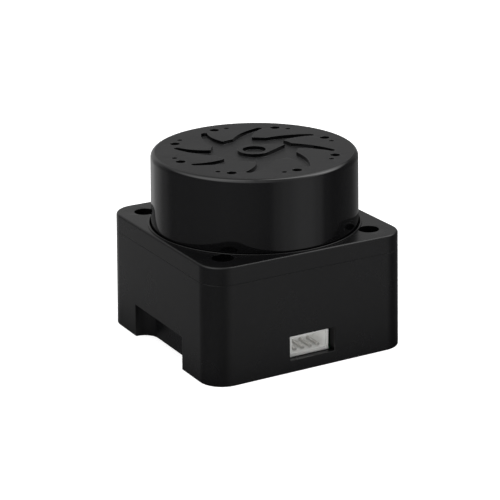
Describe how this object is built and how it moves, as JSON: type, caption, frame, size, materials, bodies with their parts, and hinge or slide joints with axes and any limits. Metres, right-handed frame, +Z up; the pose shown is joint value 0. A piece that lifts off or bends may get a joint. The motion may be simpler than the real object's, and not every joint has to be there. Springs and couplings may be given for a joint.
{
  "type": "lidar scanner module",
  "caption": "Compact spinning lidar scanner: a round glossy black head with a turbine relief turns on a square black motor base with a wire socket, corner screws and a foot notch.",
  "frame": {"origin": "centre of the base's underside, on the axis that the head turns about", "axes": "+Z up along the head's spin axis; the wire socket faces -Y and the foot notch faces -X; the head's lenses look along +X at rest"},
  "size_m": [0.0386, 0.0386, 0.0335],
  "materials": {
    "housing_plastic": "fine satin texture",
    "head_plastic": "polished sides, satin top, passes infrared",
    "socket_nylon": "natural nylon",
    "board_laminate": "green solder mask",
    "chip_epoxy": "moulded epoxy",
    "part_ceramic": "fired ceramic with tinned ends",
    "tinned_contact": "tin plate",
    "brass_insert": "knurled, bright",
    "dark_steel": "black oxide",
    "bright_steel": "ground",
    "bell_steel": "nickel plated",
    "core_steel": "stacked laminations",
    "copper_wire": "enamelled copper",
    "ferrite": "sintered ferrite",
    "magnet": "nickel-plated sintered magnet",
    "liner_plastic": "heat-resistant nylon",
    "inner_plastic": "glass-filled, black",
    "lens_glass": "coated",
    "filter_glass": "dark red band filter"
  },
  "bodies": {
    "base": {"angle_ring": "inner_plastic", "assembly_screws": "dark_steel", "base_coil": "copper_wire", "base_ferrite": "ferrite", "bearing_outer_rings": "bright_steel", "bearing_tube": "brass_insert", "board_passives": "part_ceramic", "bottom_cover": "housing_plastic", "bottom_screws": "dark_steel", "clock_crystal": "bright_steel", "coil_leads": "copper_wire", "controller_chip": "chip_epoxy", "lower_housing": "housing_plastic", "main_board": "board_laminate", "motor_driver_chip": "chip_epoxy", "motor_leads": "copper_wire", "mount_inserts": "brass_insert", "optical_receiver": "chip_epoxy", "power_inductor": "ferrite", "socket_pins": "tinned_contact", "socket_shell": "socket_nylon", "stator_core": "core_steel", "stator_insulators": "liner_plastic", "stator_windings": "copper_wire", "tube_nut": "brass_insert", "upper_cover": "housing_plastic", "bearing_balls": "bright_steel", "bearing_cages": "liner_plastic"},
    "head": {"head_cover": "head_plastic", "motor_bell": "bell_steel", "rotor_magnets": "magnet", "shaft": "bright_steel", "retaining_clip": "dark_steel", "spring_washer": "bright_steel", "hub_screws": "dark_steel", "head_coil": "copper_wire", "head_ferrite": "ferrite", "turntable": "inner_plastic", "head_board": "board_laminate", "board_screws": "dark_steel", "signal_processor": "chip_epoxy", "power_converter": "chip_epoxy", "head_passives": "part_ceramic", "data_led": "filter_glass", "angle_sensor": "inner_plastic", "balance_weight": "bell_steel", "optics_holder": "inner_plastic", "optics_screws": "dark_steel", "emitter_barrel": "inner_plastic", "emitter_lens": "lens_glass", "receiver_barrel": "inner_plastic", "receiver_lens": "lens_glass", "sensor_board": "board_laminate", "laser_diode": "chip_epoxy", "light_sensor": "chip_epoxy", "band_filter": "filter_glass", "board_link": "liner_plastic", "bearing_inner_rings": "bright_steel"}
  },
  "joints": [
    {"name": "head_spin", "type": "hinge", "parent": "base", "child": "head", "pos_m": [0, 0, 0.0207], "axis": [0, 0, 1], "continuous": true}
  ]
}
